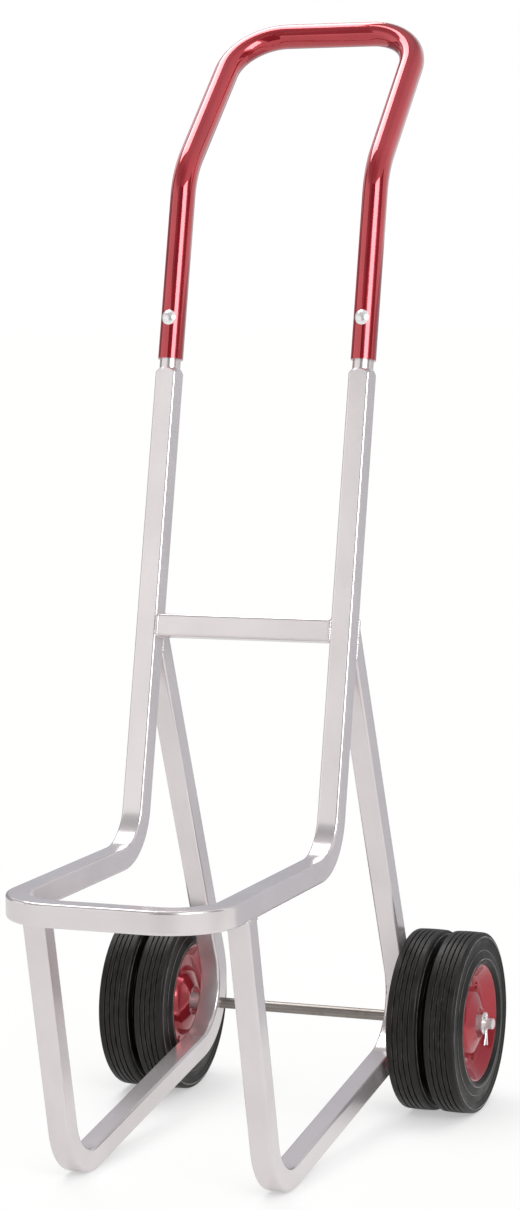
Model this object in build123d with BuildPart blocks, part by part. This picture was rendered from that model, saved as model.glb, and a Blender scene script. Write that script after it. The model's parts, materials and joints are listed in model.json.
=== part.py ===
from build123d import *
import os
from math import cos, radians, sin, sqrt

# Chair dolly: a bent square tube frame, a red loop handle and two pairs of ribbed wheels.
# Millimetres. +Z is up, +X is to the right seen from the front, and the deck points to -Y.
# The origin is on the floor, under the middle of the overall box.

# Frame tube
tube = 25.4                     # side of the square tube
tube_wall = 2.0
tube_corner = 3.2               # outside corner radius
frame_centres = 234.0           # tube centre to tube centre, left to right

# Deck and uprights; the heel is the corner where the upright's and the rail's centrelines meet
deck_height = 341.0             # top of the deck above the floor
deck_length = 362.0             # heel to the front of the front rail
deck_corner_radius = 60.0       # centreline
deck_ahead = 226.5              # heel in front of the axle
upright_lean = 13.2             # degrees back from the vertical
upright_bend_radius = 62.0      # centreline
upright_length = 546.5          # heel to the start of the swaged shoulder
cross_bar_drop = 11.4           # cross bar's centre below where leg and upright meet, along the upright
shoulder_height = 5.5           # square tube drawn down to the round spigot
spigot_length = 88.0

# Legs: rear leg, bend at the axle, lower rail, foot bend on the floor, front post
leg_lean = 21.5                 # degrees forward of the vertical, going up
leg_bend_radius = 74.0          # centreline, the axle crosses it
axle_clock = 25.6               # the axle's place on that bend, degrees below level
lower_rail_rise = 9.3           # degrees, going back
foot_radius = 57.0              # centreline
post_lean = 12.6                # degrees forward of the vertical, going up

# Handle
handle_dia = 28.6
handle_wall = 2.4
handle_fit = 0.05               # radial room over the spigot
bare_spigot = 10.5              # spigot left showing under the handle
handle_lower = 218.0            # lower end to the bend's corner
handle_lean = 46.9              # degrees back from the vertical, above the bend
handle_upper = 235.5            # bend's corner to the top bar's centreline
handle_bend_radius = 90.0       # centreline
handle_corner_radius = 62.0     # centreline
handle_top_centres = 228.0      # the loop closes in a little towards its top

# Handle bolts
bolt_dia = 6.0
bolt_hole_room = 0.25           # radial
bolt_up = 46.5                  # above the handle's lower end
bolt_head_dia = 17.0
bolt_head_height = 4.6
bolt_head_rim = 1.2             # straight edge under the dome
bolt_seat_sink = 1.2            # the head beds this far into the tube's round
bolt_tip = 0.4                  # shank past the nut
bolt_washer_dia = 12.5
bolt_washer_thick = 1.6
nut_across = 10.0               # across flats, a thin nut
nut_height = 3.2
thread_room = 0.05              # radial room on the bolt

# Axle and what is threaded on it
axle_dia = 12.7
axle_leg_room = 0.1             # radial room in the legs
axle_bevel = 1.0
axle_overhang = 9.0             # cotter hole to the axle's end
spacer_dia = 21.0
spacer_length = 5.0
washer_dia = 25.5
washer_thick = 1.6
washer_room = 0.2               # radial room on the axle
side_play = 0.25                # beside each hub
cotter_dia = 3.2
cotter_hole_room = 0.1          # radial
cotter_eye_dia = 4.8            # wire centreline
cotter_eye_wire = 1.8
cotter_leg_wire = 2.3
cotter_leg_length = 18.0
cotter_swings = (26.0, -6.0)    # its legs, degrees towards the front

# Tyre
tyre_dia = 210.0
tyre_width = 35.0               # over the tread
shoulder_round = 3.0            # tread edge
groove_count = 4
groove_pitch = 6.0
groove_width = 1.7
groove_depth = 2.2
sidewall_band = 8.0             # flat band under the shoulder
band_step = 1.0                 # step in below it
middle_band = 8.0
middle_flare = 1.2
lip_width = 41.0                # over the lips beside the rim
lip_dia = 148.0
lip_flat = 4.0

# Hub: two pressed discs, back to back
rim_dia = 135.0
rim_fit = 0.05                  # radial room under the tyre
rim_width = 33.0
rim_wall = 2.8
rim_lip = 1.8                   # flat edge of the rim
sheet = 2.0
web_out = 4.0                   # mid plane to the web's outer face
dish_dia = 108.0                # foot of the dished wall
boss_base_dia = 82.0
boss_dia = 70.0                 # edge of its sloping face
boss_edge_out = 11.4            # mid plane to that edge
boss_out = 18.2                 # mid plane to the boss's top
boss_round = 2.0
well_dia = 34.6                 # hollow in the boss around the hub tube
well_depth = 5.0
well_taper = 2.4
hub_tube_dia = 20.0
hub_fit = 0.03                  # radial room in the discs
hub_length = 43.0
bush_dia = 16.0
bush_fit = 0.02                 # radial room in the hub tube
axle_running = 0.06             # radial room of the bush on the axle
rivet_count = 3
rivet_clock = 160.0             # first rivet, degrees from the top towards the back
rivet_dia = 5.0
rivet_head_dia = 8.0
rivet_head_height = 1.4
rivet_circle_dia = 95.0
rivet_fit = 0.02                # radial room in the webs

# Heights and half widths that follow
half_frame = frame_centres / 2
half_tube = tube / 2
rail_height = deck_height - half_tube
axle_height = tyre_dia / 2
spigot_dia = handle_dia - 2 * (handle_wall + handle_fit)
bolt_hole_dia = bolt_dia + 2 * bolt_hole_room
corner_reach = (half_tube - tube_corner) * sqrt(2) + tube_corner
handle_start = upright_length + shoulder_height + bare_spigot


def turned(angle):
    """Unit step in the side plane (y, z), an angle in degrees back from straight up."""
    return sin(radians(angle)), cos(radians(angle))


def moved(point, angle, distance):
    """A side plane point moved along such an angle."""
    back, up = turned(angle)
    return point[0] + distance * back, point[1] + distance * up


# The axle's place from front to back, which centres the overall box on the origin
bend_from_heel = moved((0, 0), upright_lean, handle_start + handle_lower)
top_from_heel = moved(bend_from_heel, handle_lean, handle_upper)
reach_front = deck_ahead + deck_length
reach_back = max(top_from_heel[0] - deck_ahead + handle_dia / 2, tyre_dia / 2)
axle_y = (reach_front - reach_back) / 2

# Side plane points
heel = (axle_y - deck_ahead, rail_height)
front_y = heel[0] - deck_length + half_tube
upright_top = moved(heel, upright_lean, upright_length)
handle_end = moved(heel, upright_lean, handle_start)
handle_bend = moved(handle_end, upright_lean, handle_lower)
handle_top = moved(handle_bend, handle_lean, handle_upper)
bolt_centre = moved(handle_end, upright_lean, bolt_up)

# Directions of the uprights
lean_back, lean_up = turned(upright_lean)
upright_way = (0, lean_back, lean_up)
forward_way = (0, -lean_up, lean_back)


def tangent_corner(centre, radius, first, last):
    """Corner of two tangents of an arc; first and last are its end normals in degrees from +Y."""
    middle = radians((first + last) / 2)
    reach = radius / cos(radians((first - last) / 2))
    return centre[0] + reach * cos(middle), centre[1] + reach * sin(middle)


# Leg centreline: its two bends, worked out from the axle and from the floor
leg_normal = leg_lean
rail_normal = lower_rail_rise - 90
post_normal = post_lean - 180
bend_centre = (
    axle_y - leg_bend_radius * cos(radians(axle_clock)),
    axle_height + leg_bend_radius * sin(radians(axle_clock)),
)
rail_start = (
    bend_centre[0] + leg_bend_radius * cos(radians(rail_normal)),
    bend_centre[1] + leg_bend_radius * sin(radians(rail_normal)),
)
foot_height = foot_radius + half_tube
foot_drop = (foot_height - rail_start[1]) * cos(radians(lower_rail_rise)) - foot_radius
foot_centre = (rail_start[0] + foot_drop / sin(radians(lower_rail_rise)), foot_height)
leg_corner = tangent_corner(bend_centre, leg_bend_radius, leg_normal, rail_normal)
foot_corner = tangent_corner(foot_centre, foot_radius, rail_normal, post_normal)

# Leg ends run past what they meet, the upright's centreline and the deck's top, and are cut back
meeting = radians(leg_lean + upright_lean)
leg_from_heel = (leg_corner[0] - heel[0], leg_corner[1] - heel[1])
leg_offset = leg_from_heel[0] * lean_up - leg_from_heel[1] * lean_back
leg_meet = moved(leg_corner, -leg_lean, leg_offset / sin(meeting))
leg_end = moved(leg_meet, -leg_lean, tube)
bar_centre = moved(leg_meet, upright_lean, -cross_bar_drop)
post_rise = (deck_height - foot_corner[1]) / cos(radians(post_lean))
post_end = moved(foot_corner, -post_lean, post_rise)

# Stack along the axle, out from the leg's outer face
leg_face = half_frame + half_tube
inner_wheel_x = leg_face + spacer_length + side_play + hub_length / 2
wheel_pitch = hub_length + washer_thick + 2 * side_play
outer_wheel_x = inner_wheel_x + wheel_pitch
middle_washer_x = inner_wheel_x + hub_length / 2 + side_play
outer_washer_x = outer_wheel_x + hub_length / 2 + side_play
cotter_x = outer_washer_x + washer_thick + side_play + cotter_dia / 2
axle_half = cotter_x + axle_overhang

sides = {"left": -1, "right": 1}
os.makedirs("parts", exist_ok=True)


def write(part, name):
    part.label = name
    export_step(part, f"parts/{name}.step")


def square_ring():
    """Section of the frame tube, in the sketch that is open."""
    RectangleRounded(tube, tube, tube_corner)
    RectangleRounded(
        tube - 2 * tube_wall, tube - 2 * tube_wall, tube_corner - tube_wall, mode=Mode.SUBTRACT
    )


def across_plane(side, point, way):
    """Plane across a tube, at a side plane point, looking along way."""
    return Plane(origin=(side * half_frame, *point), x_dir=(1, 0, 0), z_dir=way)


def outward_plane(side, x):
    """Plane square to the axle at a distance x from the middle, facing outwards, its y axis up."""
    return Plane(origin=(side * x, axle_y, axle_height), x_dir=(0, side, 0), z_dir=(side, 0, 0))


def section_plane(side, x):
    """Plane through the axle with its x axis pointing outwards from x, and its y axis up."""
    return Plane(origin=(side * x, axle_y, axle_height), x_dir=(side, 0, 0), z_dir=(0, -side, 0))


axle_line = Axis((0, axle_y, axle_height), (1, 0, 0))


# Main frame tube: both uprights, both deck rails and the front rail in one bent tube
def swaged_end(side):
    """Conical shoulder and round spigot on top of an upright."""
    base = across_plane(side, upright_top, upright_way)
    with BuildPart(base) as end:
        with BuildSketch(base):
            RectangleRounded(tube, tube, tube_corner)
        extrude(amount=shoulder_height)
        Cone(
            corner_reach, spigot_dia / 2, shoulder_height,
            align=(Align.CENTER, Align.CENTER, Align.MIN), mode=Mode.INTERSECT,
        )
        with BuildSketch(base.offset(shoulder_height)):
            Circle(spigot_dia / 2)
        extrude(amount=spigot_length)
        with BuildSketch(base):
            Circle(spigot_dia / 2 - tube_wall)
        extrude(amount=shoulder_height + spigot_length, mode=Mode.SUBTRACT)
    return end.part


with BuildPart() as main_frame_tube:
    with BuildLine():
        FilletPolyline(
            (-half_frame, *upright_top),
            (-half_frame, *heel),
            (-half_frame, front_y, rail_height),
            (half_frame, front_y, rail_height),
            (half_frame, *heel),
            (half_frame, *upright_top),
            radius=[upright_bend_radius, deck_corner_radius, deck_corner_radius, upright_bend_radius],
        )
    with BuildSketch(across_plane(-1, upright_top, (0, -lean_back, -lean_up))):
        square_ring()
    sweep()
    for side in sides.values():
        add(swaged_end(side))
        with Locations(across_plane(side, bolt_centre, forward_way)):
            Cylinder(bolt_hole_dia / 2, 2 * handle_dia, mode=Mode.SUBTRACT)
write(main_frame_tube.part, "main_frame_tube")

# Cross bar, square with the uprights
bar_plane = Plane(
    origin=(half_tube - half_frame, *bar_centre), x_dir=(0, lean_up, -lean_back), z_dir=(1, 0, 0)
)
with BuildPart() as cross_bar:
    with BuildSketch(bar_plane):
        square_ring()
    extrude(amount=frame_centres - tube)
write(cross_bar.part, "cross_bar")

# Legs, cut flat against the upright's back and the deck rail's underside
leg_way = (0, *turned(180 - leg_lean))
upright_back = moved(leg_meet, upright_lean + 90, half_tube)
rail_under = (post_end[0], deck_height - tube)
for name, side in sides.items():
    with BuildPart() as leg_tube:
        with BuildLine():
            FilletPolyline(
                (side * half_frame, *leg_end),
                (side * half_frame, *leg_corner),
                (side * half_frame, *foot_corner),
                (side * half_frame, *post_end),
                radius=[leg_bend_radius, foot_radius],
            )
        with BuildSketch(across_plane(side, leg_end, leg_way)):
            square_ring()
        sweep()
        for cut_point, cut_way in ((upright_back, forward_way), (rail_under, (0, 0, 1))):
            with BuildSketch(across_plane(side, cut_point, cut_way)):
                Rectangle(2 * tube, 4 * tube)
            extrude(amount=2 * tube, mode=Mode.SUBTRACT)
        with Locations(outward_plane(side, half_frame)):
            Cylinder(axle_dia / 2 + axle_leg_room, 2 * tube, mode=Mode.SUBTRACT)
    write(leg_tube.part, f"{name}_leg_tube")

# Loop handle over the two spigots
with BuildPart() as handle_tube:
    with BuildLine():
        FilletPolyline(
            (-half_frame, *handle_end),
            (-half_frame, *handle_bend),
            (-handle_top_centres / 2, *handle_top),
            (handle_top_centres / 2, *handle_top),
            (half_frame, *handle_bend),
            (half_frame, *handle_end),
            radius=[
                handle_bend_radius, handle_corner_radius, handle_corner_radius, handle_bend_radius
            ],
        )
    with BuildSketch(across_plane(-1, handle_end, upright_way)):
        Circle(handle_dia / 2)
        Circle(handle_dia / 2 - handle_wall, mode=Mode.SUBTRACT)
    sweep()
    for side in sides.values():
        with Locations(across_plane(side, bolt_centre, forward_way)):
            Cylinder(bolt_hole_dia / 2, 2 * handle_dia, mode=Mode.SUBTRACT)
write(handle_tube.part, "handle_tube")

# Handle bolts, with their washers and nuts on the back
handle_back = handle_dia / 2
nut_face = handle_back + bolt_washer_thick
shank_end = nut_face + nut_height + bolt_tip
head_seat = handle_dia / 2 - bolt_seat_sink
head_top = head_seat + bolt_head_height
for name, side in sides.items():
    bolt_plane = across_plane(side, bolt_centre, forward_way)
    head_plane = Plane(origin=bolt_plane.origin, x_dir=(1, 0, 0), z_dir=(0, -lean_back, -lean_up))
    with BuildPart() as handle_bolt:
        with BuildSketch(head_plane):
            with BuildLine():
                rim_edge = Polyline(
                    (0, head_seat),
                    (bolt_head_dia / 2, head_seat),
                    (bolt_head_dia / 2, head_seat + bolt_head_rim),
                )
                dome = TangentArc(
                    (0, head_top), rim_edge @ 1, tangent=(1, 0), tangent_from_first=True
                )
                Line(dome @ 0, (0, head_seat))
            make_face()
        revolve(axis=Axis(bolt_plane.origin, forward_way))
        with Locations(across_plane(side, bolt_centre, upright_way)):
            Cylinder(handle_dia / 2, 2 * bolt_head_dia, mode=Mode.SUBTRACT)
        with BuildSketch(bolt_plane.offset(-shank_end)):
            Circle(bolt_dia / 2)
        extrude(amount=shank_end + head_seat + bolt_head_rim)
    write(handle_bolt.part, f"{name}_handle_bolt")

    with BuildPart() as bolt_washer:
        with BuildSketch(bolt_plane.offset(-nut_face)):
            Circle(bolt_washer_dia / 2)
            Circle(bolt_dia / 2 + thread_room, mode=Mode.SUBTRACT)
        extrude(amount=bolt_washer_thick)
    write(bolt_washer.part, f"{name}_handle_washer")

    with BuildPart() as bolt_nut:
        with BuildSketch(bolt_plane.offset(-nut_face - nut_height)):
            RegularPolygon(nut_across / 2, 6, major_radius=False)
            Circle(bolt_dia / 2 + thread_room, mode=Mode.SUBTRACT)
        extrude(amount=nut_height)
    write(bolt_nut.part, f"{name}_handle_nut")

# Axle, with its cotter holes
with BuildPart() as axle:
    with BuildSketch(outward_plane(1, -axle_half)):
        Circle(axle_dia / 2)
    extrude(amount=2 * axle_half)
    chamfer(axle.edges(), axle_bevel)
    for side in sides.values():
        with Locations((side * cotter_x, axle_y, axle_height)):
            Cylinder(cotter_dia / 2 + cotter_hole_room, 2 * axle_dia, mode=Mode.SUBTRACT)
write(axle.part, "axle")


def ring(side, start, thickness, outside, inside):
    """A washer or collar on the axle, from start outwards."""
    with BuildPart() as piece:
        with BuildSketch(outward_plane(side, start)):
            Circle(outside / 2)
            Circle(inside / 2, mode=Mode.SUBTRACT)
        extrude(amount=thickness)
    return piece.part


# Spacers, washers and cotter pins
washer_bore = axle_dia + 2 * washer_room
for name, side in sides.items():
    write(ring(side, leg_face, spacer_length, spacer_dia, washer_bore), f"{name}_spacer")
    write(ring(side, middle_washer_x, washer_thick, washer_dia, washer_bore), f"{name}_middle_washer")
    write(ring(side, outer_washer_x, washer_thick, washer_dia, washer_bore), f"{name}_outer_washer")

    cotter_low = axle_height - axle_dia / 2 - cotter_dia / 2
    eye_height = axle_height + axle_dia / 2 + (cotter_eye_dia + cotter_eye_wire) / 2
    with BuildPart() as cotter_pin:
        with BuildSketch(Plane(origin=(side * cotter_x, axle_y, cotter_low))):
            Circle(cotter_dia / 2)
        extrude(amount=eye_height - cotter_eye_dia / 2 - cotter_low)
        with Locations(Plane(origin=(side * cotter_x, axle_y, eye_height), z_dir=(1, 0, 0))):
            Torus(cotter_eye_dia / 2, cotter_eye_wire / 2)
        for swing in cotter_swings:
            leg_start = Plane(
                origin=(side * cotter_x, axle_y, cotter_low), z_dir=(0, *turned(180 + swing))
            )
            with BuildSketch(leg_start):
                Circle(cotter_leg_wire / 2)
            extrude(amount=cotter_leg_length)
    write(cotter_pin.part, f"{name}_cotter_pin")


# Wheels
def tyre(side, x):
    """Ribbed tyre with stepped sidewalls."""
    crown = tyre_dia / 2
    bead = rim_dia / 2 + rim_fit
    half = tyre_width / 2
    tread = tyre_width - 2 * shoulder_round
    band_foot = crown - shoulder_round - sidewall_band
    ring_top = band_foot - band_step - middle_band
    with BuildPart() as piece:
        with BuildSketch(section_plane(side, x)):
            with BuildLine():
                crown_line = Line((0, crown), (tread / 2, crown))
                shoulder = TangentArc(
                    crown_line @ 1, (half, crown - shoulder_round), tangent=crown_line % 1
                )
                Polyline(
                    shoulder @ 1,
                    (half, band_foot),
                    (half - band_step, band_foot - band_step),
                    (half - band_step + middle_flare, ring_top),
                    (lip_width / 2, lip_dia / 2),
                    (lip_width / 2, lip_dia / 2 - lip_flat),
                    (rim_width / 2, bead),
                    (0, bead),
                )
                mirror(about=Plane.YZ)
            make_face()
            with Locations((0, crown)):
                with GridLocations(groove_pitch, 0, groove_count, 1):
                    Rectangle(groove_width, 2 * groove_depth, mode=Mode.SUBTRACT)
        revolve(axis=axle_line)
    return piece.part


def hub_disc(side, x, facing):
    """One pressed half of a hub; facing is 1 on the outer side of the wheel and -1 on the inner."""
    rim = rim_dia / 2
    out = rim_width / 2
    tube_seat = hub_tube_dia / 2 + hub_fit
    way = side * facing
    face_plane = section_plane(way, facing * x)
    with BuildPart() as piece:
        with BuildSketch(face_plane):
            with BuildLine():
                Polyline(
                    (0, rim),
                    (out, rim),
                    (out, rim - rim_lip),
                    (web_out, dish_dia / 2),
                    (web_out, boss_base_dia / 2),
                    (boss_edge_out - boss_round, boss_dia / 2 + boss_round),
                    (boss_edge_out, boss_dia / 2),
                    (boss_out, well_dia / 2),
                    (boss_out - well_depth, well_dia / 2 - well_taper),
                    (boss_out - well_depth, tube_seat),
                    (boss_out - well_depth - sheet, tube_seat),
                    (boss_out - well_depth - sheet, well_dia / 2 - well_taper + sheet / 2),
                    (boss_out - sheet, well_dia / 2 + sheet / 2),
                    (boss_edge_out - sheet, boss_dia / 2 - sheet / 2),
                    (web_out - sheet, boss_base_dia / 2 - sheet / 2),
                    (web_out - sheet, dish_dia / 2 + sheet / 2),
                    (out - rim_wall, rim - rim_wall),
                    (0, rim - rim_wall),
                    close=True,
                )
            make_face()
        revolve(axis=axle_line)
        with BuildSketch(outward_plane(way, facing * x)):
            with PolarLocations(rivet_circle_dia / 2, rivet_count, start_angle=90 - rivet_clock * facing):
                Circle(rivet_dia / 2 + rivet_fit)
        extrude(amount=web_out, mode=Mode.SUBTRACT)
    return piece.part


def rivets(side, x):
    """Rivets through both webs."""
    with BuildPart() as group:
        with BuildSketch(outward_plane(side, x - web_out)):
            with PolarLocations(rivet_circle_dia / 2, rivet_count, start_angle=90 - rivet_clock):
                Circle(rivet_dia / 2)
        extrude(amount=2 * web_out)
        for start, amount in ((x + web_out, rivet_head_height), (x - web_out, -rivet_head_height)):
            with BuildSketch(outward_plane(side, start)):
                with PolarLocations(rivet_circle_dia / 2, rivet_count, start_angle=90 - rivet_clock):
                    Circle(rivet_head_dia / 2)
            extrude(amount=amount)
    return group.part


for name, side in sides.items():
    for place, x in (("inner", inner_wheel_x), ("outer", outer_wheel_x)):
        wheel = f"{name}_{place}"
        hub_start = x - hub_length / 2
        hub_tube_bore = bush_dia + 2 * bush_fit
        bush_bore = axle_dia + 2 * axle_running
        write(tyre(side, x), f"{wheel}_tyre")
        write(hub_disc(side, x, 1), f"{wheel}_hub_outer_disc")
        write(hub_disc(side, x, -1), f"{wheel}_hub_inner_disc")
        write(ring(side, hub_start, hub_length, hub_tube_dia, hub_tube_bore), f"{wheel}_hub_tube")
        write(ring(side, hub_start, hub_length, bush_dia, bush_bore), f"{wheel}_bush")
        write(rivets(side, x), f"{wheel}_rivets")
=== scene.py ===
"""Looks of the chair dolly: paint, rubber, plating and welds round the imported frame, in metres."""
import json
from math import ceil, cos, pi, radians, sin, sqrt, tau

import bpy
from mathutils import Matrix, Vector, noise


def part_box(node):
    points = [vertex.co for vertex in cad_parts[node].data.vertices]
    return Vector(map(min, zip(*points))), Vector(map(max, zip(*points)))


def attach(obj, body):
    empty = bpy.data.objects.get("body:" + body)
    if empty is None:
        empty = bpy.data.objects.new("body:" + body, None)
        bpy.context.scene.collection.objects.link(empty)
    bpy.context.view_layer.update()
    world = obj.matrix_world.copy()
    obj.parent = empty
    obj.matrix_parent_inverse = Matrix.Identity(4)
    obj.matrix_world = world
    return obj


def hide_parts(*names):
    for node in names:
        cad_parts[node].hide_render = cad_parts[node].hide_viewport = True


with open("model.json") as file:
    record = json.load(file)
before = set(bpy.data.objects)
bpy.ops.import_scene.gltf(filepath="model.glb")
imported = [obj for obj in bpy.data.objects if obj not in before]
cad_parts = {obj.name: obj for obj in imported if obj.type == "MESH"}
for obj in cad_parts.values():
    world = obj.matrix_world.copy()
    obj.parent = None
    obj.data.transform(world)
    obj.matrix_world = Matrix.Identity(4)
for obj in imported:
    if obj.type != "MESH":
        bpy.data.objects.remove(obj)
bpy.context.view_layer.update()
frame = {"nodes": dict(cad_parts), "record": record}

MM = 0.001

# The photograph's camera
PHOTO_HEIGHT = 1210
FOCAL_PIXELS = 3384.92
CAMERA_AT = Vector((1.39185, -3.44903, 1.02804))
CAMERA_YAW = radians(21.413)
CAMERA_PITCH = radians(6.407)
CAMERA_ROLL = radians(-0.667)
SENSOR = 36.0

# Sizes and leans of the solids' tubes, which the welds follow
TUBE = 25.4 * MM
TUBE_CORNER = 3.2 * MM
UPRIGHT_LEAN = radians(13.2)
LEG_LEAN = radians(21.5)
POST_LEAN = radians(12.6)


# Node helpers

def new_material(name):
    material = bpy.data.materials.new(name)
    material.use_nodes = True
    tree = material.node_tree
    return material, tree, tree.nodes["Principled BSDF"]


def node(tree, kind, **settings):
    made = tree.nodes.new("ShaderNode" + kind)
    for key, value in settings.items():
        setattr(made, key, value)
    return made


def wire(tree, socket, value):
    """Links a socket to another one, or sets its own value."""
    if isinstance(value, bpy.types.NodeSocket):
        tree.links.new(value, socket)
    else:
        socket.default_value = value


def math(tree, operation, first, second=0.0):
    made = node(tree, "Math", operation=operation)
    wire(tree, made.inputs[0], first)
    wire(tree, made.inputs[1], second)
    return made.outputs[0]


def blend(tree, factor, first, second):
    """Mixes two colours."""
    made = node(tree, "Mix", data_type="RGBA")
    wire(tree, made.inputs[0], factor)
    for socket, value in zip(made.inputs[6:8], (first, second)):
        wire(tree, socket, value if isinstance(value, bpy.types.NodeSocket) else (*value, 1.0))
    return made.outputs[2]


def span(tree, value, low, high, start=0.0, end=1.0):
    """Maps low..high smoothly to start..end."""
    made = node(tree, "MapRange", interpolation_type="SMOOTHSTEP")
    for socket, number in zip(made.inputs, (value, low, high, start, end)):
        wire(tree, socket, number)
    return made.outputs[0]


def place(tree):
    """Position on the piece, in metres, which moves with it."""
    return node(tree, "TexCoord").outputs["Object"]


def scaled(tree, coords, scale):
    made = node(tree, "Mapping")
    wire(tree, made.inputs["Vector"], coords)
    made.inputs["Scale"].default_value = scale
    return made.outputs[0]


def cloud(tree, coords, scale, detail=3.0, roughness=0.5):
    made = node(tree, "TexNoise")
    wire(tree, made.inputs["Vector"], coords)
    made.inputs["Scale"].default_value = scale
    made.inputs["Detail"].default_value = detail
    made.inputs["Roughness"].default_value = roughness
    return made.outputs["Fac"]


def edge_mask(tree, radius):
    """1 along sharp outer and inner edges, 0 on flat faces."""
    rounded = node(tree, "Bevel", samples=6)
    rounded.inputs["Radius"].default_value = radius
    plain = node(tree, "NewGeometry")
    agree = node(tree, "VectorMath", operation="DOT_PRODUCT")
    tree.links.new(rounded.outputs[0], agree.inputs[0])
    tree.links.new(plain.outputs["Normal"], agree.inputs[1])
    return span(tree, agree.outputs["Value"], 0.995, 0.90)


def bump(tree, height, strength, distance, normal=None):
    made = node(tree, "Bump")
    made.inputs["Strength"].default_value = strength
    made.inputs["Distance"].default_value = distance
    wire(tree, made.inputs["Height"], height)
    if normal is not None:
        tree.links.new(normal, made.inputs["Normal"])
    return made.outputs[0]


# Materials

# Colours, as linear red, green and blue
SILVER_DEEP = (0.720, 0.670, 0.678)
SILVER_PALE = (0.765, 0.715, 0.723)
SILVER_EDGE_WEAR_AND_HIGHLIGHT = (0.84, 0.81, 0.81)
SILVER_CHIP = (0.45, 0.43, 0.43)
RED_EDGE_RUB_AND_HIGHLIGHT = (0.66, 0.20, 0.21)
RED_SCUFF = (0.60, 0.22, 0.23)
RUBBER_DEEP = (0.0070, 0.0061, 0.0055)
RUBBER_PALE = (0.0140, 0.0124, 0.0112)
RUBBER_DUST = (0.045, 0.039, 0.035)
RUBBER_WORN_GLINT = (0.150, 0.140, 0.134)
RUBBER_RING_WEAR_AND_HIGHLIGHT = (0.300, 0.278, 0.264)
STEEL_DEEP = (0.17, 0.152, 0.138)
STEEL_PALE = (0.38, 0.352, 0.328)
STEEL_STAIN = (0.20, 0.162, 0.136)
STEEL_CLEAN = (0.78, 0.77, 0.76)
PLATED_EDGE = (0.92, 0.92, 0.91)

# Distance from the middle over which the axle turns from stained to clean
CLEAN_FROM = 0.195
CLEAN_FULL = 0.215


def silver_paint():
    material, tree, shader = new_material("silver_paint")
    here = place(tree)
    soft = cloud(tree, here, 11.0, 3.0)
    flake = cloud(tree, here, 1400.0, 1.0)
    peel = cloud(tree, here, 240.0, 2.0)
    edges = edge_mask(tree, 1.4 * MM)
    chips = span(tree, cloud(tree, here, 95.0, 5.0, 0.65), 0.56, 0.66)
    edge_marks = math(tree, "MULTIPLY", edges, chips)
    paint = blend(tree, span(tree, soft, 0.35, 0.65), SILVER_DEEP, SILVER_PALE)
    # Edges turn pale: partly thin, worn paint and partly a painted highlight along them
    paint = blend(tree, math(tree, "MULTIPLY", edges, 0.30), paint, SILVER_EDGE_WEAR_AND_HIGHLIGHT)
    paint = blend(tree, math(tree, "MULTIPLY", edge_marks, 0.55), paint, SILVER_CHIP)
    tree.links.new(paint, shader.inputs["Base Color"])
    shader.inputs["Metallic"].default_value = 0.75
    rough = math(tree, "ADD", span(tree, flake, 0.3, 0.7, 0.20, 0.23), math(tree, "MULTIPLY", edge_marks, 0.2))
    tree.links.new(rough, shader.inputs["Roughness"])
    fine = bump(tree, flake, 0.004, 0.05 * MM)
    tree.links.new(bump(tree, peel, 0.015, 0.10 * MM, fine), shader.inputs["Normal"])
    return material


def red_enamel(name, bright, deep, gloss, rub_and_highlight, metal, coat):
    """Red metallic paint under a clear coat.

    Gloss is its roughness, metal how far it mirrors, and the rubbing number how strongly scuffs show and how
    pale edges turn, partly as rubbed paint and partly as a painted highlight.
    """
    material, tree, shader = new_material(name)
    here = place(tree)
    soft = cloud(tree, here, 16.0, 4.0)
    peel = cloud(tree, here, 120.0, 2.0)
    edges = edge_mask(tree, 1.2 * MM)
    scratch = cloud(tree, scaled(tree, here, (420.0, 420.0, 40.0)), 1.0, 4.0, 0.7)
    scuffs = math(tree, "MULTIPLY", span(tree, scratch, 0.66, 0.74), span(tree, soft, 0.54, 0.68))
    colour = blend(tree, span(tree, soft, 0.3, 0.7), deep, bright)
    # Pale edges: partly rubbed paint and partly a painted highlight
    colour = blend(tree, math(tree, "MULTIPLY", edges, rub_and_highlight), colour, RED_EDGE_RUB_AND_HIGHLIGHT)
    colour = blend(tree, math(tree, "MULTIPLY", scuffs, rub_and_highlight), colour, RED_SCUFF)
    tree.links.new(colour, shader.inputs["Base Color"])
    rough = math(
        tree, "ADD", span(tree, soft, 0.3, 0.7, gloss, gloss + 0.04), math(tree, "MULTIPLY", scuffs, 0.25)
    )
    tree.links.new(rough, shader.inputs["Roughness"])
    shader.inputs["Metallic"].default_value = metal
    shader.inputs["Coat Weight"].default_value = coat
    shader.inputs["Coat Roughness"].default_value = 0.02
    shader.inputs["Coat IOR"].default_value = 1.6
    tree.links.new(bump(tree, peel, 0.01, 0.10 * MM), shader.inputs["Normal"])
    return material


# Moulded rings on the sidewalls, painted pale partly as rubbed rubber and partly as a painted highlight on
# their ridges: radius and half width
PALE_RINGS = ((99.6 * MM, 0.75 * MM), (84.1 * MM, 0.45 * MM), (74.2 * MM, 0.70 * MM))


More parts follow.
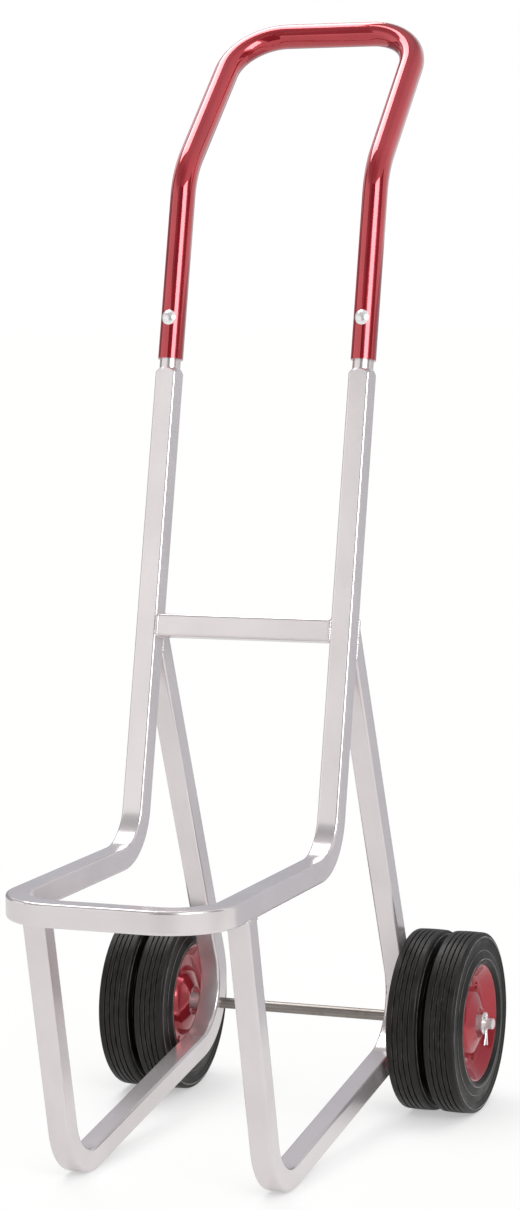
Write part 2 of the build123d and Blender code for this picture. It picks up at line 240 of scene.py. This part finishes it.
def tyre_rubber(axle_at):
    material, tree, shader = new_material("tyre_rubber")
    here = place(tree)
    from_axle = node(tree, "VectorMath", operation="SUBTRACT")
    tree.links.new(here, from_axle.inputs[0])
    from_axle.inputs[1].default_value = axle_at
    radius = node(tree, "VectorMath", operation="LENGTH")
    tree.links.new(scaled(tree, from_axle.outputs[0], (0, 1, 1)), radius.inputs[0])
    mottle = cloud(tree, here, 45.0, 5.0, 0.6)
    grain = cloud(tree, here, 900.0, 3.0)
    strokes = cloud(tree, scaled(tree, here, (900.0, 75.0, 75.0)), 1.0, 4.0, 0.6)
    dust = span(tree, cloud(tree, here, 14.0, 6.0, 0.65), 0.45, 0.75)
    colour = blend(tree, span(tree, mottle, 0.3, 0.7), RUBBER_DEEP, RUBBER_PALE)
    colour = blend(tree, math(tree, "MULTIPLY", dust, 0.20), colour, RUBBER_DUST)
    # Pale broken strokes along rib edges: partly wear and partly painted glints
    edge_marks = math(tree, "MULTIPLY", edge_mask(tree, 1.1 * MM), span(tree, strokes, 0.44, 0.62, 0.15, 1.0))
    colour = blend(tree, math(tree, "MULTIPLY", edge_marks, 0.75), colour, RUBBER_WORN_GLINT)
    for ring_at, ring_half in PALE_RINGS:
        apart = math(tree, "ABSOLUTE", math(tree, "SUBTRACT", radius.outputs["Value"], ring_at))
        on_ring = span(tree, apart, ring_half, 0.4 * ring_half)
        # Pale ring lines: partly wear and partly a painted highlight
        ring_wear_and_highlight = math(tree, "MULTIPLY", on_ring, span(tree, mottle, 0.3, 0.6))
        colour = blend(tree, math(tree, "MULTIPLY", ring_wear_and_highlight, 0.8), colour, RUBBER_RING_WEAR_AND_HIGHLIGHT)
    tree.links.new(colour, shader.inputs["Base Color"])
    shader.inputs["Specular IOR Level"].default_value = 0.26
    tree.links.new(span(tree, mottle, 0.3, 0.7, 0.34, 0.50), shader.inputs["Roughness"])
    coarse = bump(tree, mottle, 0.25, 0.5 * MM)
    tree.links.new(bump(tree, grain, 0.18, 0.15 * MM, coarse), shader.inputs["Normal"])
    return material


def bare_steel():
    """Drawn bar, stained in the middle and clean at its ends."""
    material, tree, shader = new_material("bare_steel")
    here = place(tree)
    streaks = cloud(tree, scaled(tree, here, (6.0, 700.0, 700.0)), 1.0, 4.0, 0.6)
    stain = cloud(tree, here, 22.0, 5.0, 0.6)
    colour = blend(tree, span(tree, streaks, 0.3, 0.7), STEEL_DEEP, STEEL_PALE)
    colour = blend(tree, span(tree, stain, 0.52, 0.72), colour, STEEL_STAIN)
    along = node(tree, "SeparateXYZ")
    tree.links.new(here, along.inputs[0])
    clean = span(tree, math(tree, "ABSOLUTE", along.outputs["X"]), CLEAN_FROM, CLEAN_FULL)
    colour = blend(tree, clean, colour, STEEL_CLEAN)
    tree.links.new(colour, shader.inputs["Base Color"])
    tree.links.new(math(tree, "SUBTRACT", 1.0, math(tree, "MULTIPLY", clean, 0.3)), shader.inputs["Metallic"])
    tree.links.new(span(tree, streaks, 0.3, 0.7, 0.28, 0.45), shader.inputs["Roughness"])
    tree.links.new(bump(tree, streaks, 0.2, 0.05 * MM), shader.inputs["Normal"])
    return material


def plated(name, clean, dull, scale, metal):
    """Bright plating, or plain bronze, with a little tarnish; metal is how far it mirrors."""
    material, tree, shader = new_material(name)
    here = place(tree)
    tarnish = cloud(tree, here, scale, 5.0, 0.6)
    grain = cloud(tree, here, 1600.0, 2.0)
    colour = blend(tree, span(tree, tarnish, 0.42, 0.72), clean, dull)
    edges = edge_mask(tree, 0.5 * MM)
    colour = blend(tree, math(tree, "MULTIPLY", edges, 0.4), colour, PLATED_EDGE)
    tree.links.new(colour, shader.inputs["Base Color"])
    shader.inputs["Metallic"].default_value = metal
    tree.links.new(span(tree, tarnish, 0.35, 0.75, 0.18, 0.36), shader.inputs["Roughness"])
    tree.links.new(bump(tree, grain, 0.06, 0.05 * MM), shader.inputs["Normal"])
    return material


tyre_low, tyre_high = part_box("right_outer_tyre")
materials = {
    "silver_paint": silver_paint(),
    "red_enamel": red_enamel(
        "red_enamel", (0.47, 0.018, 0.031), (0.41, 0.013, 0.024), gloss=0.07, rub_and_highlight=0.30, metal=0.65, coat=1.0
    ),
    "red_hub": red_enamel(
        "red_hub", (0.40, 0.026, 0.040), (0.33, 0.019, 0.030), gloss=0.18, rub_and_highlight=0.45, metal=0.5, coat=0.5
    ),
    "tyre_rubber": tyre_rubber((tyre_low + tyre_high) / 2),
    "bare_steel": bare_steel(),
    "zinc": plated("zinc", (0.90, 0.90, 0.90), (0.74, 0.74, 0.73), scale=60.0, metal=0.7),
    "bronze": plated("bronze", (0.55, 0.40, 0.22), (0.34, 0.24, 0.14), scale=80.0, metal=1.0),
}
for row in frame["record"]["subparts"]:
    skin = frame["nodes"][row["node"]].data.materials
    skin.clear()
    skin.append(materials[row["material_slot"]])


# Mesh helpers

SHARP = radians(50)


def new_piece(name, points, faces, slot, body):
    """A smooth mesh that rides on a body and takes a slot's finish."""
    mesh = bpy.data.meshes.new(name)
    mesh.from_pydata(points, [], faces)
    mesh.polygons.foreach_set("use_smooth", [True] * len(mesh.polygons))
    mesh.set_sharp_from_angle(angle=SHARP)
    mesh.materials.append(materials[slot])
    mesh.update()
    piece = bpy.data.objects.new(name, mesh)
    bpy.context.scene.collection.objects.link(piece)
    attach(piece, body)
    return piece


def grid_faces(rows, columns):
    """Quads of a grid that closes both ways; point number is row * columns + column."""
    faces = []
    for row in range(rows):
        first = row * columns
        after = (row + 1) % rows * columns
        for column in range(columns):
            beside = (column + 1) % columns
            faces.append((first + column, first + beside, after + beside, after + column))
    return faces


def rounded_loop(corners, radius, step):
    """Points about a step apart round a closed loop whose corners are rounded."""
    outline = []
    arc_steps = 5
    for index, corner in enumerate(corners):
        back = (corners[index - 1] - corner).normalized()
        ahead = (corners[(index + 1) % len(corners)] - corner).normalized()
        turn = back.angle(ahead)
        cut = radius / max(0.2, sin(turn / 2) / cos(turn / 2))
        start, end = corner + back * cut, corner + ahead * cut
        for part in range(arc_steps + 1):
            share = part / arc_steps
            outline.append(
                start * (1 - share) ** 2 + corner * 2 * share * (1 - share) + end * share ** 2
            )
    points = []
    for index, point in enumerate(outline):
        after = outline[(index + 1) % len(outline)]
        pieces = max(1, ceil((after - point).length / step))
        points.extend(point.lerp(after, part / pieces) for part in range(pieces))
    return points


# Weld beads

BEAD_STEP = 0.55 * MM
BEAD_SIDES = 12
RIPPLE = 2.7 * MM
WANDER_LENGTH = 9 * MM
LUMP_LENGTH = 3.1 * MM

# Height and width of each bead, and where its noise starts
BAR_BEAD, BAR_SEED = (1.9 * MM, 2.3 * MM), 3.0
LEG_BEAD, LEG_SEED = (1.7 * MM, 2.0 * MM), 11.0
POST_BEAD, POST_SEED = (1.6 * MM, 1.9 * MM), 23.0

# Order of a seam's corners: along the seam and across it
BAR_CORNERS = ((1, 1), (1, -1), (-1, -1), (-1, 1))
LEG_CORNERS = ((0, 1), (0, -1), (1, -1), (1, 1))


def weld(name, corners, height, width, seed):
    """A rippled bead round a joint; corners lie in the joint's plane."""
    loop = rounded_loop(corners, TUBE_CORNER, BEAD_STEP)
    middle = sum(corners, Vector()) / len(corners)
    across = (corners[1] - corners[0]).cross(corners[2] - corners[1]).normalized()
    points = []
    run = 0.0
    for index, point in enumerate(loop):
        ahead = (loop[(index + 1) % len(loop)] - loop[index - 1]).normalized()
        out = ahead.cross(across)
        if out.dot(point - middle) < 0:
            out = -out
        wander = noise.noise(Vector((run / WANDER_LENGTH, seed, 0.0)))
        lump = noise.noise(Vector((run / LUMP_LENGTH, seed, 7.0)))
        phase = (run / RIPPLE + 0.35 * wander) % 1.0 * 2 - 1
        swell = 0.80 + 0.22 * sqrt(1 - phase * phase) + 0.16 * lump
        centre = point + across * wander * 0.5 * MM
        for side in range(BEAD_SIDES):
            angle = tau * side / BEAD_SIDES
            points.append(centre + out * height * swell * cos(angle) + across * width * swell * sin(angle))
        run += (loop[(index + 1) % len(loop)] - point).length
    return new_piece(name, points, grid_faces(len(loop), BEAD_SIDES), "silver_paint", "frame")


up_way = Vector((0, sin(UPRIGHT_LEAN), cos(UPRIGHT_LEAN)))
back_way = Vector((0, cos(UPRIGHT_LEAN), -sin(UPRIGHT_LEAN)))
side_way = Vector((1, 0, 0))
bar_low, bar_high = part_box("cross_bar")
bar_middle = (bar_low + bar_high) / 2
half = TUBE / 2
SUNK = 0.5 * MM

for name, side in (("left", -1), ("right", 1)):
    # Cross bar to upright
    end = Vector((side * (bar_high.x - SUNK), bar_middle.y, bar_middle.z))
    reach = half - SUNK
    corners = [end + up_way * a * reach + back_way * b * reach for a, b in BAR_CORNERS]
    weld(f"{name}_bar_weld", corners, *BAR_BEAD, BAR_SEED * side)

    # Leg's top end to the back of the upright
    leg_low, leg_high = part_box(f"{name}_leg_tube")
    leg_middle = (leg_low.x + leg_high.x) / 2
    back_face = bar_middle + back_way * half
    rise = (leg_high.z - back_face.z) / up_way.z
    seam_top = back_face + up_way * rise
    seam_length = TUBE / sin(UPRIGHT_LEAN + LEG_LEAN)
    corners = []
    for a, b in LEG_CORNERS:
        point = seam_top - up_way * a * seam_length
        corners.append(Vector((leg_middle + b * reach, point.y, point.z)))
    weld(f"{name}_leg_weld", corners, *LEG_BEAD, LEG_SEED + side)

    # Post's top to the underside of the deck rail
    rail_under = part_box("main_frame_tube")[0].z
    depth = TUBE / cos(POST_LEAN)
    corners = [
        Vector((leg_middle + b * reach, leg_low.y + SUNK + a * (depth - 2 * SUNK), rail_under))
        for a, b in LEG_CORNERS
    ]
    weld(f"{name}_post_weld", corners, *POST_BEAD, POST_SEED + side)


# Wheels

LATHE_STEPS = 168
HUB_STEPS = 180

TREAD_HALF = 14.5 * MM
SHOULDER = 3.0 * MM
TREAD_STEP = 0.25 * MM
GROOVE_COUNT = 4
GROOVE_PITCH = 6.0 * MM
GROOVE_DEPTH = 2.2 * MM
GROOVE_FLOOR = 0.30 * MM
GROOVE_MOUTH = 1.05 * MM
CROWN_DROP = 0.4 * MM

# Sidewall below the shoulder, in millimetres: distance out from the mid plane and radius
SIDEWALL = [
    (17.5, 102.0), (17.5, 100.8), (18.5, 100.3), (18.5, 99.0), (17.5, 98.4), (17.3, 94.2),
    (16.5, 93.0), (17.0, 85.4), (17.7, 84.8), (17.9, 83.6), (17.5, 82.8), (19.4, 77.4),
    (20.5, 74.6), (20.5, 71.0), (19.6, 69.6), (18.6, 69.4), (18.2, 68.4), (16.7, 67.6),
]
SIDEWALL_ROUND = 0.8 * MM

# Pressed hub face, in millimetres: radius and distance out from the mid plane
HUB_FACE = [
    (10.0, 13.2), (14.9, 13.2), (17.3, 18.2), (35.0, 11.4), (37.0, 9.4), (41.0, 4.0),
    (54.0, 4.0), (65.7, 16.5), (67.5, 16.5),
]
HUB_SHEET = 2.0 * MM
HUB_SOFTNESS = 1.2 * MM
HUB_TAPS = 4
HUB_RINGS = 110
RIM_RADIUS = 67.5 * MM
RIM_INSIDE = 64.7 * MM


def smooth(low, high, value):
    share = min(1.0, max(0.0, (value - low) / (high - low)))
    return share * share * (3 - 2 * share)


def rounded_line(points, radius):
    """A line of points whose inner corners are cut by small curves."""
    line = [points[0]]
    for before, corner, after in zip(points, points[1:], points[2:]):
        cut_back = min(radius, 0.45 * (before - corner).length)
        cut_ahead = min(radius, 0.45 * (after - corner).length)
        start = corner + (before - corner).normalized() * cut_back
        end = corner + (after - corner).normalized() * cut_ahead
        line.extend((start, start * 0.25 + corner * 0.5 + end * 0.25, end))
    return line + [points[-1]]


def tyre_profile(crown):
    """Closed profile, distance out and radius: ribbed tread, shoulders, sidewalls and bore."""
    grooves = [(count - (GROOVE_COUNT - 1) / 2) * GROOVE_PITCH for count in range(GROOVE_COUNT)]
    tread = []
    for step in range(round(2 * TREAD_HALF / TREAD_STEP) + 1):
        out = step * TREAD_STEP - TREAD_HALF
        offset = min(abs(out - groove) for groove in grooves)
        cut = GROOVE_DEPTH * (1 - smooth(GROOVE_FLOOR, GROOVE_MOUTH, offset))
        tread.append((out, crown - CROWN_DROP * (out / TREAD_HALF) ** 2 - cut))
    edge = crown - CROWN_DROP
    turn_steps = 6
    side = []
    for step in range(1, turn_steps):
        turn = pi / 2 * step / turn_steps
        side.append((TREAD_HALF + SHOULDER * sin(turn), edge - (SHOULDER - CROWN_DROP) * (1 - cos(turn))))
    wall = rounded_line([Vector((a * MM, r * MM)) for a, r in SIDEWALL], SIDEWALL_ROUND)
    side.extend((point.x, point.y) for point in wall)
    return tread + side + [(-out, radius) for out, radius in reversed(side)]


def hub_face(radius):
    """The pressing's distance out, softened along the radius."""
    total = 0.0
    weights = 0.0
    for tap in range(-HUB_TAPS, HUB_TAPS + 1):
        weight = cos(tap / (HUB_TAPS + 1) * pi / 2)
        at = min(max(radius + tap / HUB_TAPS * HUB_SOFTNESS, HUB_FACE[0][0] * MM), HUB_FACE[-1][0] * MM)
        for (r0, out0), (r1, out1) in zip(HUB_FACE, HUB_FACE[1:]):
            if at <= r1 * MM + 1e-9:
                total += weight * (out0 + (out1 - out0) * (at / MM - r0) / (r1 - r0)) * MM
                break
        weights += weight
    return total / weights


def hub_profile():
    """Closed profile of a pressing, distance out and radius: face, rim, then back."""
    first = HUB_FACE[0][0] * MM
    radii = [first + (RIM_RADIUS - first) * step / HUB_RINGS for step in range(HUB_RINGS + 1)]
    profile = [(hub_face(radius), radius) for radius in radii]
    profile += [(0.0, RIM_RADIUS), (0.0, RIM_INSIDE)]
    behind = [radius for radius in reversed(radii[::2]) if radius < RIM_INSIDE - HUB_SHEET]
    profile += [(hub_face(radius) - HUB_SHEET, radius) for radius in behind]
    return profile


def turn_points(centre, way, profile, steps):
    """Points of a profile turned round the axle; way is 1 or -1, the outward direction along X."""
    points = []
    for out, radius in profile:
        for step in range(steps):
            angle = tau * step / steps
            points.append(centre + Vector((way * out, radius * sin(angle), radius * cos(angle))))
    return points


def facing_out(faces, flip):
    return [tuple(reversed(face)) for face in faces] if flip else faces


pressed = hub_profile()
for side_name, side in (("left", -1), ("right", 1)):
    for place_name in ("inner", "outer"):
        wheel = f"{side_name}_{place_name}"
        low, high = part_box(f"{wheel}_tyre")
        centre = (low + high) / 2
        profile = tyre_profile((high.z - low.z) / 2)
        rubber = new_piece(
            f"{wheel}_ribbed_tyre",
            turn_points(centre, 1, profile, LATHE_STEPS),
            grid_faces(len(profile), LATHE_STEPS),
            "tyre_rubber",
            f"{wheel}_wheel",
        )
        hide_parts(f"{wheel}_tyre")
        for disc_name, facing in (("outer", 1), ("inner", -1)):
            way = side * facing
            faces = grid_faces(len(pressed), HUB_STEPS)
            pressing = new_piece(
                f"{wheel}_{disc_name}_pressing",
                turn_points(centre, way, pressed, HUB_STEPS),
                facing_out(faces, way > 0),
                "red_hub",
                f"{wheel}_wheel",
            )
            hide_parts(f"{wheel}_hub_{disc_name}_disc")


# Floor, light and camera

# World brightness by the sine of the height above the horizon
WORLD_LEVELS = ((0.43, 1.0), (0.56, 0.42), (0.80, 0.30))

FLOOR_RADIUS = 30.0
FLOOR_SIDES = 96
FLOOR_LEVEL = -0.0004

# Reach of the contact shade, the floor's white share in it and clear of it, and where the share grows to all
SHADE_REACH = 0.16
SHADE_SHARES = (0.42, 0.90)
WHITE_FROM = 0.55
WHITE_FULL = 1.7

# How much dimmer reflections show the floor
FLOOR_DIMMED = 0.18

# Cards: directions from and to in degrees, distance, foot, top and shade
FLAGS = {
    "right_flag": (112, 174, 0.80, 0.0, 1.0, (0.50, 0.505, 0.53)),
    "side_flag": (72, 98, 2.6, 0.0, 2.6, (0.12, 0.12, 0.13)),
    "left_flag": (-110, -92, 2.6, 0.0, 2.4, (0.22, 0.22, 0.23)),
    "far_left_flag": (-150, -110, 2.6, 0.0, 1.4, (0.22, 0.22, 0.23)),
    "back_flag": (176, 222, 2.6, 0.0, 2.0, (0.42, 0.43, 0.47)),
    "camera_flag": (-14, 21, 3.0, 0.0, 3.2, (0.08, 0.08, 0.08)),
    "front_flag": (-33, -12, 1.2, 1.5, 4.0, (0.25, 0.25, 0.26)),
}


def make_floor():
    mesh = bpy.data.meshes.new("floor")
    ring = []
    for step in range(FLOOR_SIDES):
        angle = tau * step / FLOOR_SIDES
        ring.append((FLOOR_RADIUS * cos(angle), FLOOR_RADIUS * sin(angle), FLOOR_LEVEL))
    mesh.from_pydata(ring, [], [range(FLOOR_SIDES)])
    ground = bpy.data.objects.new("floor", mesh)
    bpy.context.scene.collection.objects.link(ground)
    material, tree, shader = new_material("floor_white")
    shader.inputs["Base Color"].default_value = (0.86, 0.86, 0.86, 1)
    shader.inputs["Roughness"].default_value = 0.9
    shader.inputs["Specular IOR Level"].default_value = 0.1
    glow = node(tree, "Emission")
    glow.inputs["Color"].default_value = (1, 1, 0.995, 1)
    far = node(tree, "VectorMath", operation="LENGTH")
    tree.links.new(place(tree), far.inputs[0])
    open_sky = node(tree, "AmbientOcclusion", samples=12)
    open_sky.inputs["Distance"].default_value = SHADE_REACH
    near = span(tree, open_sky.outputs["AO"], 0.30, 0.97, *SHADE_SHARES)
    fade = span(tree, far.outputs["Value"], WHITE_FROM, WHITE_FULL, near, 1.0)
    path = node(tree, "LightPath")
    mirrored = math(tree, "MULTIPLY", path.outputs["Is Glossy Ray"], FLOOR_DIMMED)
    tree.links.new(math(tree, "SUBTRACT", 1.0, mirrored), glow.inputs["Strength"])
    seen = math(tree, "MAXIMUM", path.outputs["Is Camera Ray"], path.outputs["Is Glossy Ray"])
    seen = math(tree, "MAXIMUM", seen, path.outputs["Is Transmission Ray"])
    mix = node(tree, "MixShader")
    tree.links.new(math(tree, "MULTIPLY", fade, seen), mix.inputs[0])
    tree.links.new(shader.outputs[0], mix.inputs[1])
    tree.links.new(glow.outputs[0], mix.inputs[2])
    tree.links.new(mix.outputs[0], tree.nodes["Material Output"].inputs["Surface"])
    mesh.materials.append(material)


def make_world():
    """White round the horizon, a dim band over it and a pale top, paler to the right."""
    world = bpy.data.worlds.new("studio")
    bpy.context.scene.world = world
    world.use_nodes = True
    tree = world.node_tree
    way = node(tree, "SeparateXYZ")
    tree.links.new(node(tree, "TexCoord").outputs["Generated"], way.inputs[0])
    ramp = node(tree, "ValToRGB")
    tree.links.new(way.outputs["Z"], ramp.inputs[0])
    stops = ramp.color_ramp.elements
    stops[0].position, stops[0].color = 0.0, (1, 1, 1, 1)
    stops[1].position, stops[1].color = 1.0, (0.6, 0.6, 0.62, 1)
    for position, level in WORLD_LEVELS:
        stops.new(position).color = (level, level, level, 1)
    lit = span(tree, way.outputs["X"], 0.15, 0.60, 0.0, 0.7)
    sky = tree.nodes["Background"]
    tree.links.new(blend(tree, lit, ramp.outputs[0], (0.95, 0.95, 0.96)), sky.inputs["Color"])
    sky.inputs["Strength"].default_value = 1.0


def make_flag(name, start, end, distance, low, high, shade):
    """A standing card that only reflections show.

    Start and end are directions in degrees, which count from the front towards +X.
    """
    corners = []
    for turn, height in ((start, low), (end, low), (end, high), (start, high)):
        corners.append((distance * sin(radians(turn)), -distance * cos(radians(turn)), height))
    mesh = bpy.data.meshes.new(name)
    mesh.from_pydata(corners, [], [(0, 1, 2, 3)])
    card = bpy.data.objects.new(name, mesh)
    bpy.context.scene.collection.objects.link(card)
    card.visible_camera = False
    card.visible_diffuse = False
    card.visible_shadow = False
    material, tree, shader = new_material(name)
    shader.inputs["Base Color"].default_value = (0, 0, 0, 1)
    shader.inputs["Specular IOR Level"].default_value = 0.0
    shader.inputs["Emission Color"].default_value = (*shade, 1)
    shader.inputs["Emission Strength"].default_value = 1.0
    mesh.materials.append(material)


def soft_box(name, at, target, size, power):
    lamp = bpy.data.lights.new(name, "AREA")
    lamp.shape = "RECTANGLE"
    lamp.size, lamp.size_y = size
    lamp.energy = power
    holder = bpy.data.objects.new(name, lamp)
    holder.location = at
    holder.rotation_euler = (Vector(target) - Vector(at)).to_track_quat("-Z", "Y").to_euler()
    bpy.context.scene.collection.objects.link(holder)


def make_camera():
    forward = Vector((
        -sin(CAMERA_YAW) * cos(CAMERA_PITCH), cos(CAMERA_YAW) * cos(CAMERA_PITCH), -sin(CAMERA_PITCH)
    ))
    right = forward.cross(Vector((0, 0, 1))).normalized()
    upward = right.cross(forward)
    rolled_right = right * cos(CAMERA_ROLL) + upward * sin(CAMERA_ROLL)
    rolled_up = upward * cos(CAMERA_ROLL) - right * sin(CAMERA_ROLL)
    lens = bpy.data.cameras.new("camera")
    lens.sensor_fit = "VERTICAL"
    lens.sensor_height = SENSOR
    lens.lens = FOCAL_PIXELS / PHOTO_HEIGHT * SENSOR
    lens.clip_end = 100.0
    holder = bpy.data.objects.new("camera", lens)
    holder.matrix_world = Matrix.Translation(CAMERA_AT) @ Matrix(
        (rolled_right, rolled_up, -forward)
    ).transposed().to_4x4()
    bpy.context.scene.collection.objects.link(holder)
    bpy.context.scene.camera = holder


make_floor()
make_world()
for name, card in FLAGS.items():
    make_flag(name, *card)
soft_box("top", at=(-1.55, 1.20, 3.2), target=(-1.55, 1.15, 0.0), size=(1.8, 2.3), power=65)
soft_box("right", at=(2.20, -2.25, 2.2), target=(0, 0, 0.8), size=(1.9, 2.0), power=72)
make_camera()
bpy.context.scene.view_settings.view_transform = "Standard"
